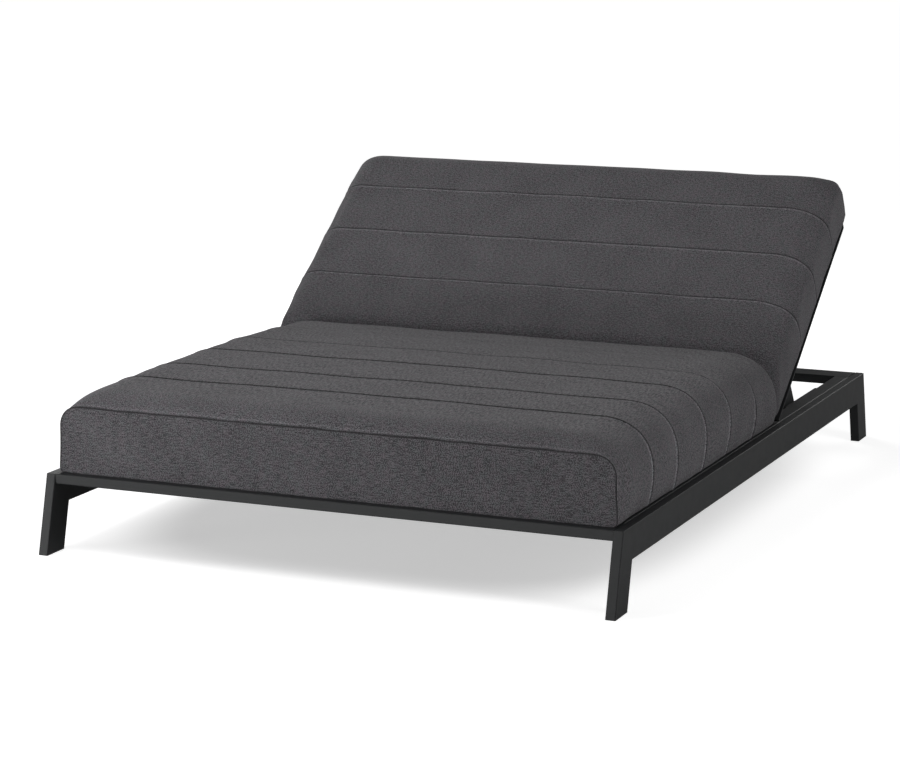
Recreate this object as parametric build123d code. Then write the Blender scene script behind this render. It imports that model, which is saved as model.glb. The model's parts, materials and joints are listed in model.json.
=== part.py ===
from build123d import *
import math
import os

# Double chaise lounger. Millimetres, +Z up, +Y towards the head end, +X to the right seen from the
# foot end. The origin is on the floor, under the middle of the base frame.

# Base frame
FRAME_WIDTH = 1500
FRAME_LENGTH = 2050  # along the flush top, from corner to corner
FRAME_HEIGHT = 196  # floor to frame top
RAIL_DEPTH = 80  # long side of the frame tube
RAIL_THICKNESS = 25  # short side of the frame tube
TUBE_WALL = 2.5
TUBE_CORNER = 2.5  # outer corner radius of every tube
LEG_SPLAY = 14  # degrees from upright
WELD_FILLET = 8  # radius in the inner corner of leg and rail
LEDGE_WIDTH = 40
GLIDE_THICKNESS = 3
GLIDE_PLUG_LENGTH = 20
PLUG_CLEARANCE = 0.3

# Seat deck
SPINE_WIDTH = 40
SLAT_WIDTH = 70
SLAT_THICKNESS = 20
SLAT_ROWS = 6
HINGE_BEAM_WIDTH = 50

# Backrest
REST_ANGLE = 36.6  # degrees from flat, as stored
MAX_ANGLE = 50
BACK_LENGTH = 767  # rim, from the pivot to the top edge
RIM_HEAD_OVERHANG = 2  # lowered rim beyond the frame's end
STILE_WIDTH = 40
STILE_THICKNESS = 25
STILE_LOWER_OVERHANG = 12  # stile below the pivot
RIM_THICKNESS = 6
RIM_TOP_LAP = 30  # top rim bar over the ends of the stiles
RIM_SIDE_START = 6
RIM_PROUD = 1.5  # rim beyond the side of the cushion
RIM_CORNER = 25
HEAD_CLEARANCE = 5  # between the lowered stiles and the head crossbar
BACK_RAIL_WIDTH = 40
BACK_RAIL_START = 16
BACK_SLAT_WIDTH = 50
BACK_SLAT_COUNT = 4
STILE_PLUG_FLANGE = 2
STILE_PLUG_LENGTH = 15
BUMPER_RADIUS = 10
BUMPER_THICKNESS = 1.7
BUMPER_GAP = 0.3
BUMPER_STEM_RADIUS = 4
BUMPER_LOW_INSET = 94  # from the ends of the side rim bar
BUMPER_HIGH_INSET = 50

# Hinges
HINGE_PIN_RADIUS = 6
RUNNING_CLEARANCE = 0.05
BUSH_WALL = 2
BRACKET_THICKNESS = 5
BRACKET_SIDE_CLEARANCE = 0.5
BRACKET_NECK_HEIGHT = 12
BRACKET_BASE_INSET = 1  # bracket base lower than the beam it is screwed to
HINGE_BEAM_SETBACK = 28  # beam face to pivot
PIN_HEAD_OVERLAP = 3  # beyond the pin's own radius
PIN_HEAD_THICKNESS = 4
PIN_END_LENGTH = 4.5  # pin beyond the outer ear
RING_THICKNESS = 1.2
RING_OVERLAP = 3.5
RING_GROOVE_DEPTH = 1
RING_SLOT = 6

# Prop and notch plates
PROP_PIVOT_DISTANCE = 246  # up the stile from the hinge pin
FOOT_BAR_DROP = 27  # stored foot bar below the underside of the ledges
PROP_LEAN = 35.6  # degrees from upright, as stored
PROP_RATIO = 1.3  # the prop's lean falls by this for each degree the back is raised
ARM_WIDTH = 22  # at the pivot and round the foot bar
ARM_TOE_REACH = 90  # toe of the arm in front of the foot bar, level with it as stored
ARM_THICKNESS = 6
ARM_WASHER = 2
PROP_BOLT_RADIUS = 5
PROP_BOLT_HEAD_OVERLAP = 3.5
PROP_BOLT_HEAD_THICKNESS = 3
BOLT_HEAD_CLEARANCE = 2  # to the notch plate, where the lowered arm passes it
PROP_BOLT_END_GAP = 2  # bolt end inside the inner face of the stile
FOOT_BAR_RADIUS = 7
FOOT_BAR_WALL = 2
SLOT_CLEARANCE = 0.7
SLOT_STEPS = 10
NOTCH_DEPTH = 4
NOTCH_ANGLES = (0, 14, 26, REST_ANGLE, 46)
NOTCH_TILT = 20  # degrees, the notches lean towards the head
PLATE_THICKNESS = 5
PLATE_BORDER = 11
PLATE_TOP_GAP = 1  # plate edge below the frame top
PLATE_END = 24
COLLAR_WALL = 3.5
COLLAR_THICKNESS = 5
COLLAR_GAP = 1.5

# Countersunk screws
SCREW_RADIUS = 3
SCREW_HEAD_RADIUS = 6
SCREW_HEAD_DEPTH = 3
SCREW_LENGTH = 16
SCREW_CLEARANCE = 0.1

CUT_MARGIN = 1  # bores and cuts reach this far past what they cut

# Cushions
CUSHION_INSET = 25  # from the sides and the foot end of the frame
SEAT_THICKNESS = 205
BACK_THICKNESS = 184
BACK_CUSHION_OVERHANG = 12  # cushion beyond the rim at the top
CUSHION_ROUND = 55
CUSHION_UPRIGHT_ROUND = 60
CUSHION_BOTTOM_ROUND = 8
SEAT_REAR_LEAN = 18  # degrees, the rear end of the seat leans towards the foot
SEAT_REAR_GAP = 1  # seat cushion in front of the hinge brackets
BACK_BEVEL = 29  # degrees, the lower end of the back cushion

# Places that follow from the sizes above
END_Y = FRAME_LENGTH / 2
RAIL_INNER_X = FRAME_WIDTH / 2 - RAIL_THICKNESS
LEDGE_INNER_X = RAIL_INNER_X - LEDGE_WIDTH
PLATE_INNER_X = LEDGE_INNER_X - PLATE_THICKNESS
CROSSBAR_INNER_Y = END_Y - RAIL_DEPTH
DECK_MID_Z = FRAME_HEIGHT - RAIL_THICKNESS / 2
ARM_OUTER_X = PLATE_INNER_X - BOLT_HEAD_CLEARANCE - PROP_BOLT_HEAD_THICKNESS
ARM_INNER_X = ARM_OUTER_X - ARM_THICKNESS
STILE_OUTER_X = ARM_INNER_X - ARM_WASHER
STILE_INNER_X = STILE_OUTER_X - STILE_WIDTH
STILE_MID_X = (STILE_OUTER_X + STILE_INNER_X) / 2
PIVOT_Y = END_Y + RIM_HEAD_OVERHANG - BACK_LENGTH
PIVOT_Z = FRAME_HEIGHT + BUMPER_THICKNESS + BUMPER_GAP - STILE_THICKNESS / 2
BEAM_REAR_Y = PIVOT_Y - HINGE_BEAM_SETBACK
BEAM_FRONT_Y = BEAM_REAR_Y - HINGE_BEAM_WIDTH
STILE_END = CROSSBAR_INNER_Y - HEAD_CLEARANCE - PIVOT_Y
BACK_TOP_W = STILE_THICKNESS / 2 + RIM_THICKNESS  # the plane the back cushion lies on
RIM_EDGE_X = FRAME_WIDTH / 2 - CUSHION_INSET + RIM_PROUD
RIM_TOP_START = STILE_END - RIM_TOP_LAP
EAR_OUTER_X = STILE_OUTER_X + BRACKET_SIDE_CLEARANCE + BRACKET_THICKNESS
EAR_INNER_X = STILE_INNER_X - BRACKET_SIDE_CLEARANCE - BRACKET_THICKNESS
FOOT_REST_Z = FRAME_HEIGHT - RAIL_THICKNESS - FOOT_BAR_DROP
PROP_RISE = PIVOT_Z + PROP_PIVOT_DISTANCE * math.sin(math.radians(REST_ANGLE)) - FOOT_REST_Z
PROP_LENGTH = PROP_RISE / math.cos(math.radians(PROP_LEAN))
PIN_HEAD_RADIUS = HINGE_PIN_RADIUS + PIN_HEAD_OVERLAP
RING_RADIUS = HINGE_PIN_RADIUS + RING_OVERLAP
COLLAR_RADIUS = FOOT_BAR_RADIUS + COLLAR_WALL


def tube_along_x(length, width, height, wall=TUBE_WALL):
    """Rectangular tube centred on the origin, with the width along Y and the height along Z."""
    outer = extrude(Plane.YZ * RectangleRounded(width, height, TUBE_CORNER), length / 2, both=True)
    bore = extrude(Plane.YZ * Rectangle(width - 2 * wall, height - 2 * wall), length / 2, both=True)
    return outer - bore


def tube_along_y(length, width, height, wall=TUBE_WALL):
    """Rectangular tube centred on the origin, with the width along X and the height along Z."""
    return Rot(0, 0, 90) * tube_along_x(length, width, height, wall)


def round_along_x(radius, x_low, x_high):
    """Cylinder on the X axis between two stations."""
    return Pos((x_low + x_high) / 2, 0, 0) * Rot(0, 90, 0) * Cylinder(radius, x_high - x_low)


def side_plate(outline, x_low, x_high):
    """Extrude a sketch drawn in side view (Y, Z) between two X stations."""
    return Pos((x_low + x_high) / 2, 0, 0) * extrude(Plane.YZ * outline, (x_high - x_low) / 2, both=True)


def side_polygon(*points):
    """Closed polygon for a side view, points as (Y, Z)."""
    return make_face(Polyline(*points, close=True))


def disc(radius, y, z):
    """Circle for a side view."""
    return Pos(y, z) * Circle(radius)


def hull_of(*sketches):
    """Convex outline around several sketches."""
    return make_hull([edge for sketch in sketches for edge in sketch.edges()])


def other_side(shape):
    """The left-hand copy of a right-hand piece."""
    return mirror(shape, about=Plane.YZ)


def back_frame(shape):
    """Place a shape drawn on the flat backrest (X, up the back, off the back) at the stored angle."""
    return Pos(0, PIVOT_Y, PIVOT_Z) * Rot(REST_ANGLE, 0, 0) * shape


def prop_pivot(angle):
    """Place (Y, Z) of the prop's pivot with the back at an angle."""
    turn = math.radians(angle)
    return (
        PIVOT_Y + PROP_PIVOT_DISTANCE * math.cos(turn),
        PIVOT_Z + PROP_PIVOT_DISTANCE * math.sin(turn),
    )


def foot_place(angle):
    """Place (Y, Z) of the foot bar with the back at an angle."""
    lean = math.radians(PROP_LEAN - PROP_RATIO * (angle - REST_ANGLE))
    y, z = prop_pivot(angle)
    return y + PROP_LENGTH * math.sin(lean), z - PROP_LENGTH * math.cos(lean)


def mitre_corners():
    """Outer and inner corner (Y, Z) of the mitre between rail and leg at the head end."""
    splay = math.radians(LEG_SPLAY)
    inner_y = END_Y + RAIL_DEPTH * math.tan(splay) - RAIL_DEPTH / math.cos(splay)
    return Vector(END_Y, FRAME_HEIGHT), Vector(inner_y, FRAME_HEIGHT - RAIL_DEPTH)


def side_rail():
    """Right side rail, mitred at both ends."""
    top, low = mitre_corners()
    tube = tube_along_y(2 * top.X, RAIL_THICKNESS, RAIL_DEPTH)
    tube = Pos(FRAME_WIDTH / 2 - RAIL_THICKNESS / 2, 0, FRAME_HEIGHT - RAIL_DEPTH / 2) * tube
    outline = side_polygon((-top.X, top.Y), (top.X, top.Y), (low.X, low.Y), (-low.X, low.Y))
    return tube & side_plate(outline, RAIL_INNER_X, FRAME_WIDTH / 2)


def leg_axis_lean():
    """Unit vector (Y, Z) down a rear leg."""
    splay = math.radians(LEG_SPLAY)
    return Vector(math.sin(splay), -math.cos(splay))


def leg():
    """Rear right leg: a splayed tube, mitred to the rail and cut level above its glide."""
    top, low = mitre_corners()
    down = leg_axis_lean()
    across = Vector(down.Y, -down.X)  # from the outer face towards the inner face
    reach = 3 * FRAME_HEIGHT
    middle = top + across * (RAIL_DEPTH / 2)
    tube = Rot(90 + LEG_SPLAY, 0, 0) * tube_along_y(reach, RAIL_THICKNESS, RAIL_DEPTH)
    tube = Pos(FRAME_WIDTH / 2 - RAIL_THICKNESS / 2, middle.X, middle.Y) * tube
    along = (top - low).normalized()
    high_end = top + along * RAIL_DEPTH
    low_end = low - along * RAIL_DEPTH / 2
    keep = side_polygon(
        (high_end.X, high_end.Y),
        (low_end.X, low_end.Y),
        (low_end.X, GLIDE_THICKNESS),
        (high_end.X, GLIDE_THICKNESS),
    )
    tube = tube & side_plate(keep, RAIL_INNER_X, FRAME_WIDTH / 2)
    return tube + inner_corner_weld(low, down)


def inner_corner_weld(corner, down):
    """Ground weld that rounds the inner corner between leg and rail."""
    open_angle = math.radians(90 + LEG_SPLAY)
    run = WELD_FILLET / math.tan(open_angle / 2)
    on_rail = corner - Vector(run, 0)
    on_leg = corner + down * run
    arc = TangentArc((on_rail.X, on_rail.Y), (on_leg.X, on_leg.Y), tangent=(1, 0))
    sides = Polyline((on_leg.X, on_leg.Y), (corner.X, corner.Y), (on_rail.X, on_rail.Y))
    outline = make_face([arc, *sides.edges()])
    low_x = RAIL_INNER_X + TUBE_CORNER
    return side_plate(outline, low_x, FRAME_WIDTH / 2 - TUBE_CORNER)


def foot_glide():
    """Plastic glide of the rear right leg: a foot plate with a plug inside the tube."""
    top, _ = mitre_corners()
    down = leg_axis_lean()
    splay = math.radians(LEG_SPLAY)
    footprint = RAIL_DEPTH / math.cos(splay)
    outer_y = top.X + (FRAME_HEIGHT - GLIDE_THICKNESS) * math.tan(splay)
    mid_x = FRAME_WIDTH / 2 - RAIL_THICKNESS / 2
    plate = Pos(mid_x, outer_y - footprint / 2, GLIDE_THICKNESS / 2) * extrude(
        RectangleRounded(RAIL_THICKNESS, footprint, TUBE_CORNER), GLIDE_THICKNESS / 2, both=True
    )
    side_gap = TUBE_WALL + PLUG_CLEARANCE
    plug_rise = down * (-GLIDE_PLUG_LENGTH)
    low_outer = outer_y - side_gap / math.cos(splay)
    low_inner = outer_y - footprint + side_gap / math.cos(splay)
    outline = side_polygon(
        (low_outer, GLIDE_THICKNESS),
        (low_inner, GLIDE_THICKNESS),
        (low_inner + plug_rise.X, GLIDE_THICKNESS + plug_rise.Y),
        (low_outer + plug_rise.X, GLIDE_THICKNESS + plug_rise.Y),
    )
    plug = side_plate(outline, RAIL_INNER_X + side_gap, FRAME_WIDTH / 2 - side_gap)
    return plate + plug


def crossbar():
    """Head crossbar: the frame tube laid flat between the side rails."""
    bar = tube_along_x(2 * RAIL_INNER_X, RAIL_DEPTH, RAIL_THICKNESS)
    return Pos(0, END_Y - RAIL_DEPTH / 2, DECK_MID_Z) * bar


def screw_places_on_plate():
    """Places (Y, Z) of the screws along the top of a notch plate."""
    front = foot_place(MAX_ANGLE)[0]
    rear = foot_place(0)[0]
    return [(y, DECK_MID_Z) for y in (front - PLATE_END / 2, (front + rear) / 2, rear + PLATE_END / 2)]


def screw_places_on_bracket():
    """X stations of the two screws between the ears of a hinge bracket."""
    return [STILE_MID_X - STILE_WIDTH / 4, STILE_MID_X + STILE_WIDTH / 4]


def screw():
    """Countersunk screw along +Z, its flat head at the origin facing -Z."""
    head = Pos(0, 0, SCREW_HEAD_DEPTH / 2) * Cone(SCREW_HEAD_RADIUS, SCREW_RADIUS, SCREW_HEAD_DEPTH)
    shank_length = SCREW_LENGTH - SCREW_HEAD_DEPTH
    shank = Pos(0, 0, SCREW_HEAD_DEPTH + shank_length / 2) * Cylinder(SCREW_RADIUS, shank_length)
    return head + shank


def screw_hole():
    """What a screw takes out of the pieces it passes through."""
    grown = SCREW_HEAD_RADIUS + SCREW_CLEARANCE
    shank = SCREW_RADIUS + SCREW_CLEARANCE
    head = Pos(0, 0, SCREW_HEAD_DEPTH / 2) * Cone(grown, shank, SCREW_HEAD_DEPTH)
    return head + Pos(0, 0, SCREW_LENGTH / 2) * Cylinder(shank, SCREW_LENGTH + 2 * CUT_MARGIN)


def placed_on_plate(shape):
    """Copies of a shape, drawn like a screw, at the right notch plate's screw places."""
    turned = Rot(0, 90, 0) * shape
    return [Pos(PLATE_INNER_X, y, z) * turned for y, z in screw_places_on_plate()]


def placed_on_bracket(shape):
    """Copies of a shape, drawn like a screw, at the right hinge bracket's screw places."""
    turned = Rot(90, 0, 0) * shape
    face_y = BEAM_REAR_Y + BRACKET_THICKNESS
    return [Pos(x, face_y, DECK_MID_Z) * turned for x in screw_places_on_bracket()]


def frame_screws():
    """All the screws of the notch plates and hinge brackets."""
    right = placed_on_plate(screw()) + placed_on_bracket(screw())
    return Compound(children=right + [other_side(one) for one in right])


def ledge():
    """Right ledge: a flat tube along the inside of the rail, drilled for the notch plate."""
    bar = tube_along_y(2 * CROSSBAR_INNER_Y, LEDGE_WIDTH, RAIL_THICKNESS)
    bar = Pos(RAIL_INNER_X - LEDGE_WIDTH / 2, 0, DECK_MID_Z) * bar
    for hole in placed_on_plate(screw_hole()):
        bar = bar - hole
    return bar


def hinge_beam():
    """Crossbeam behind the seat deck that carries the hinge brackets."""
    bar = tube_along_x(2 * LEDGE_INNER_X, HINGE_BEAM_WIDTH, RAIL_THICKNESS)
    bar = Pos(0, (BEAM_FRONT_Y + BEAM_REAR_Y) / 2, DECK_MID_Z) * bar
    for hole in placed_on_bracket(screw_hole()):
        bar = bar - hole - other_side(hole)
    return bar


def deck_spine():
    """Tube down the middle of the seat deck, from the foot crossbar to the hinge beam."""
    length = BEAM_FRONT_Y + CROSSBAR_INNER_Y
    bar = tube_along_y(length, SPINE_WIDTH, RAIL_THICKNESS)
    return Pos(0, (BEAM_FRONT_Y - CROSSBAR_INNER_Y) / 2, DECK_MID_Z) * bar


def seat_slat(row):
    """Right half of one seat slat, between the spine and the ledge."""
    span = BEAM_FRONT_Y + CROSSBAR_INNER_Y
    gap = (span - SLAT_ROWS * SLAT_WIDTH) / (SLAT_ROWS + 1)
    y = -CROSSBAR_INNER_Y + gap + SLAT_WIDTH / 2 + row * (SLAT_WIDTH + gap)
    length = LEDGE_INNER_X - SPINE_WIDTH / 2
    bar = tube_along_x(length, SLAT_WIDTH, SLAT_THICKNESS)
    return Pos((LEDGE_INNER_X + SPINE_WIDTH / 2) / 2, y, FRAME_HEIGHT - SLAT_THICKNESS / 2) * bar


def hinge_bracket():
    """Right hinge bracket: a clevis with two rounded ears, screwed to the hinge beam."""
    base_height = RAIL_THICKNESS - BRACKET_BASE_INSET
    inside = BEAM_REAR_Y + BRACKET_THICKNESS
    base = side_polygon(
        (BEAM_REAR_Y, DECK_MID_Z - base_height / 2),
        (inside, DECK_MID_Z - base_height / 2),
        (inside, DECK_MID_Z + base_height / 2),
        (BEAM_REAR_Y, DECK_MID_Z + base_height / 2),
    )
    ear_radius = FRAME_HEIGHT - PIVOT_Z
    neck_top = PIVOT_Z + BRACKET_NECK_HEIGHT / 2
    neck = side_polygon(
        (BEAM_REAR_Y, neck_top - BRACKET_NECK_HEIGHT),
        (PIVOT_Y, PIVOT_Z - ear_radius),
        (PIVOT_Y, neck_top),
        (BEAM_REAR_Y, neck_top),
    )
    ear = neck + disc(ear_radius, PIVOT_Y, PIVOT_Z)
    bracket = side_plate(base, EAR_INNER_X, EAR_OUTER_X)
    bracket = bracket + side_plate(ear, EAR_INNER_X, EAR_INNER_X + BRACKET_THICKNESS)
    bracket = bracket + side_plate(ear, EAR_OUTER_X - BRACKET_THICKNESS, EAR_OUTER_X)
    bore_radius = HINGE_PIN_RADIUS + RUNNING_CLEARANCE
    bore = round_along_x(bore_radius, EAR_INNER_X - CUT_MARGIN, EAR_OUTER_X + CUT_MARGIN)
    bracket = bracket - Pos(0, PIVOT_Y, PIVOT_Z) * bore
    for hole in placed_on_bracket(screw_hole()):
        bracket = bracket - hole
    return bracket


def ring_x():
    """Inner X station of the right retaining ring."""
    return EAR_OUTER_X + RUNNING_CLEARANCE


def hinge_pin():
    """Right hinge pin: a headed pin with a groove for its retaining ring."""
    end = EAR_OUTER_X + PIN_END_LENGTH
    pin = round_along_x(HINGE_PIN_RADIUS, EAR_INNER_X, end)
    head = round_along_x(PIN_HEAD_RADIUS, EAR_INNER_X - PIN_HEAD_THICKNESS, EAR_INNER_X)
    groove_end = ring_x() + RING_THICKNESS + RUNNING_CLEARANCE
    groove = round_along_x(PIN_HEAD_RADIUS, ring_x(), groove_end)
    groove = groove - round_along_x(HINGE_PIN_RADIUS - RING_GROOVE_DEPTH, ring_x(), groove_end)
    pin = chamfer(pin.edges().sort_by(Axis.X)[-1], RING_GROOVE_DEPTH)
    return Pos(0, PIVOT_Y, PIVOT_Z) * (pin + head - groove)


def hinge_pin_ring():
    """Snap ring, open at the bottom, in the groove of the right hinge pin."""
    bore = HINGE_PIN_RADIUS - RING_GROOVE_DEPTH + RUNNING_CLEARANCE
    outline = Circle(RING_RADIUS) - Circle(bore)
    outline = outline - Pos(0, -RING_RADIUS / 2) * Rectangle(RING_SLOT, RING_RADIUS + CUT_MARGIN)
    return Pos(0, PIVOT_Y, PIVOT_Z) * side_plate(outline, ring_x(), ring_x() + RING_THICKNESS)


def bush_radius(pin_radius):
    """Outer radius of the bush round a pin."""
    return pin_radius + RUNNING_CLEARANCE + BUSH_WALL


def stile_bush(pin_radius, u):
    """Bush through the right stile for a pin or bolt, at u up the back."""
    bush = round_along_x(bush_radius(pin_radius), STILE_INNER_X, STILE_OUTER_X)
    low = STILE_INNER_X - CUT_MARGIN
    bore = round_along_x(pin_radius + RUNNING_CLEARANCE, low, STILE_OUTER_X + CUT_MARGIN)
    return back_frame(Pos(0, u, 0) * (bush - bore))


def stile_bore(pin_radius, u):
    """What the bush for a pin or bolt takes out of the right stile."""
    radius = bush_radius(pin_radius) + RUNNING_CLEARANCE
    low = STILE_INNER_X - CUT_MARGIN
    return Pos(0, u, 0) * round_along_x(radius, low, STILE_OUTER_X + CUT_MARGIN)


def slot_outline():
    """Curved slot that the foot bar follows, with a notch below it at each backrest position."""
    radius = FOOT_BAR_RADIUS + SLOT_CLEARANCE
    places = [foot_place(MAX_ANGLE * step / SLOT_STEPS) for step in range(SLOT_STEPS + 1)]
    discs = [disc(radius, y, z) for y, z in places]
    outline = discs[0]
    for first, second in zip(discs, discs[1:]):
        outline = outline + hull_of(first, second)
    tilt = math.radians(NOTCH_TILT)
    for angle in NOTCH_ANGLES:
        y, z = foot_place(angle)
        bottom = disc(radius, y + NOTCH_DEPTH * math.sin(tilt), z - NOTCH_DEPTH * math.cos(tilt))
        outline = outline + hull_of(disc(radius, y, z), bottom)
    return outline


def notch_plate():
    """Right notch plate, screwed to the inside of the ledge and hanging below it."""
    radius = FOOT_BAR_RADIUS + PLATE_BORDER
    places = [foot_place(MAX_ANGLE * step / SLOT_STEPS) for step in range(SLOT_STEPS + 1)]
    front = places[-1][0] - PLATE_END
    rear = places[0][0] + PLATE_END
    top = FRAME_HEIGHT - PLATE_TOP_GAP
    low = FRAME_HEIGHT - RAIL_THICKNESS
    strip = side_polygon((front, low), (rear, low), (rear, top), (front, top))
    outline = hull_of(strip, *[disc(radius, y, z) for y, z in places])
    plate = side_plate(outline - slot_outline(), PLATE_INNER_X, LEDGE_INNER_X)
    for hole in placed_on_plate(screw_hole()):
        plate = plate - hole
    return plate


def back_stile():
    """Right backrest stile, bored for the hinge bush and the prop bush."""
    low = -STILE_LOWER_OVERHANG + STILE_PLUG_FLANGE
    high = STILE_END - STILE_PLUG_FLANGE
    bar = tube_along_y(high - low, STILE_WIDTH, STILE_THICKNESS)
    bar = Pos(STILE_MID_X, (low + high) / 2, 0) * bar
    bar = bar - stile_bore(HINGE_PIN_RADIUS, 0)
    return back_frame(bar - stile_bore(PROP_BOLT_RADIUS, PROP_PIVOT_DISTANCE))


def stile_flange(middle_u):
    """Thin plate of the stile's own outline across its end."""
    outline = Plane.XZ * RectangleRounded(STILE_WIDTH, STILE_THICKNESS, TUBE_CORNER)
    return Pos(STILE_MID_X, middle_u, 0) * extrude(outline, STILE_PLUG_FLANGE / 2, both=True)


def stile_upper_plug():
    """Plastic plug in the upper end of the right stile."""
    shrink = 2 * (TUBE_WALL + PLUG_CLEARANCE)
    body = Box(STILE_WIDTH - shrink, STILE_PLUG_LENGTH, STILE_THICKNESS - shrink)
    body_middle = STILE_END - STILE_PLUG_FLANGE - STILE_PLUG_LENGTH / 2
    flange = stile_flange(STILE_END - STILE_PLUG_FLANGE / 2)
    return back_frame(flange + Pos(STILE_MID_X, body_middle, 0) * body)


def stile_lower_cap():
    """Thin cap that closes the lower end of the right stile, beside the hinge bush."""
    return back_frame(stile_flange(-STILE_LOWER_OVERHANG + STILE_PLUG_FLANGE / 2))


def bumper_places():
    """Places (X, up the back) of the right-hand landing bumpers."""
    x = RAIL_INNER_X - LEDGE_WIDTH / 2
    return [(x, u) for u in (RIM_SIDE_START + BUMPER_LOW_INSET, RIM_TOP_START - BUMPER_HIGH_INSET)]


def landing_bumpers():
    """Rubber bumpers under the rim that meet the ledges when the back is flat."""
    under = STILE_THICKNESS / 2
    right = []
    for x, u in bumper_places():
        head = Pos(x, u, under - BUMPER_THICKNESS / 2) * Cylinder(BUMPER_RADIUS, BUMPER_THICKNESS)
        stem_length = RIM_THICKNESS - BUMPER_GAP
        stem = Pos(x, u, under + stem_length / 2) * Cylinder(BUMPER_STEM_RADIUS, stem_length)
        right.append(back_frame(head + stem))
    return Compound(children=right + [other_side(one) for one in right])


def back_rim_side():
    """Right rim bar: a flat bar on the stile that carries the edge of the cushion."""
    length = RIM_TOP_START - RIM_SIDE_START
    width = RIM_EDGE_X - STILE_INNER_X
    mid_w = STILE_THICKNESS / 2 + RIM_THICKNESS / 2
    bar = Box(width, length, RIM_THICKNESS)
    bar = fillet(bar.edges().filter_by(Axis.Y).group_by(Axis.X)[-1], RIM_THICKNESS / 4)
    bar = Pos((RIM_EDGE_X + STILE_INNER_X) / 2, (RIM_TOP_START + RIM_SIDE_START) / 2, mid_w) * bar
    for x, u in bumper_places():
        bar = bar - Pos(x, u, mid_w) * Cylinder(BUMPER_STEM_RADIUS + RUNNING_CLEARANCE, 2 * RIM_THICKNESS)
    return back_frame(bar)


def back_rim_top():
    """Flat bar across the top of the backrest, with rounded outer corners."""
    width = BACK_LENGTH - RIM_TOP_START
    plate = Box(2 * RIM_EDGE_X, width, RIM_THICKNESS)
    corners = plate.edges().filter_by(Axis.Z).group_by(Axis.Y)[-1]
    plate = fillet(corners, RIM_CORNER)
    mid_w = STILE_THICKNESS / 2 + RIM_THICKNESS / 2
    return back_frame(Pos(0, BACK_LENGTH - width / 2, mid_w) * plate)


def back_crossmember(u, width, top_w):
    """Tube between the stiles, its middle at u up the back and its upper face at top_w."""
    bar = tube_along_x(2 * STILE_INNER_X, width, STILE_THICKNESS)
    return back_frame(Pos(0, u, top_w - STILE_THICKNESS / 2) * bar)


def back_slat_place(index):
    """Middle of one back slat, spaced evenly between the two rails."""
    low = BACK_RAIL_START + BACK_RAIL_WIDTH
    high = STILE_END - BACK_RAIL_WIDTH
    gap = (high - low - BACK_SLAT_COUNT * BACK_SLAT_WIDTH) / (BACK_SLAT_COUNT + 1)
    return low + gap + BACK_SLAT_WIDTH / 2 + index * (BACK_SLAT_WIDTH + gap)


def prop_bolt():
    """Shoulder bolt of the right prop arm, drawn round the pivot on the flat backrest."""
    shank_low = STILE_INNER_X + PROP_BOLT_END_GAP
    head_low = ARM_OUTER_X + RUNNING_CLEARANCE
    bolt = round_along_x(PROP_BOLT_RADIUS, shank_low, head_low)
    head_radius = PROP_BOLT_RADIUS + PROP_BOLT_HEAD_OVERLAP
    head = round_along_x(head_radius, head_low, head_low + PROP_BOLT_HEAD_THICKNESS)
    rim = head.edges().filter_by(GeomType.CIRCLE).sort_by(Axis.X)[-1]
    head = fillet(rim, PROP_BOLT_HEAD_THICKNESS / 2)
    return back_frame(Pos(0, PROP_PIVOT_DISTANCE, 0) * (bolt + head))


def prop_washer():
    """Plastic washer between the right stile and the prop arm."""
    outline = Circle(ARM_WIDTH / 2) - Circle(PROP_BOLT_RADIUS + 2 * RUNNING_CLEARANCE)
    washer = side_plate(outline, STILE_OUTER_X, ARM_INNER_X - RUNNING_CLEARANCE)
    return back_frame(Pos(0, PROP_PIVOT_DISTANCE, 0) * washer)


def prop_arm():
    """Right prop arm: a three-cornered plate from the stile to the foot bar, with a toe in front."""
    pivot_y, pivot_z = prop_pivot(REST_ANGLE)
    foot_y, foot_z = foot_place(REST_ANGLE)
    corners = [(pivot_y, pivot_z), (foot_y, foot_z), (foot_y - ARM_TOE_REACH, foot_z)]
    outline = hull_of(*[disc(ARM_WIDTH / 2, y, z) for y, z in corners])
    outline = outline - disc(PROP_BOLT_RADIUS + RUNNING_CLEARANCE, pivot_y, pivot_z)
    outline = outline - disc(FOOT_BAR_RADIUS + RUNNING_CLEARANCE, foot_y, foot_z)
    return side_plate(outline, ARM_INNER_X, ARM_OUTER_X)


def foot_bar():
    """Round tube that joins the prop arms; its ends run in the notch plates."""
    end = LEDGE_INNER_X + COLLAR_GAP + COLLAR_THICKNESS
    bar = round_along_x(FOOT_BAR_RADIUS, -end, end)
    bore_end = end + CUT_MARGIN
    bar = bar - round_along_x(FOOT_BAR_RADIUS - FOOT_BAR_WALL, -bore_end, bore_end)
    return Pos(0, *foot_place(REST_ANGLE)) * bar


def foot_bar_collar():
    """Collar that keeps the right end of the foot bar in its notch plate."""
    outline = Circle(COLLAR_RADIUS) - Circle(FOOT_BAR_RADIUS + RUNNING_CLEARANCE)
    low = LEDGE_INNER_X + COLLAR_GAP
    return Pos(0, *foot_place(REST_ANGLE)) * side_plate(outline, low, low + COLLAR_THICKNESS)


def rounded_cushion(outline):
    """Cushion body from its side view, with a soft upper edge and upright corners."""
    half_width = FRAME_WIDTH / 2 - CUSHION_INSET
    body = side_plate(outline, -half_width, half_width)
    across = body.faces().filter_by(Axis.X)
    uprights = [edge for face in across for edge in face.edges() if abs(edge.tangent_at(0.5).Z) > 0.5]
    body = fillet(uprights, CUSHION_UPRIGHT_ROUND)
    body = fillet(body.faces().sort_by(Axis.Z)[-1].edges(), CUSHION_ROUND)
    return fillet(body.faces().sort_by(Axis.Z)[0].edges(), CUSHION_BOTTOM_ROUND)


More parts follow.
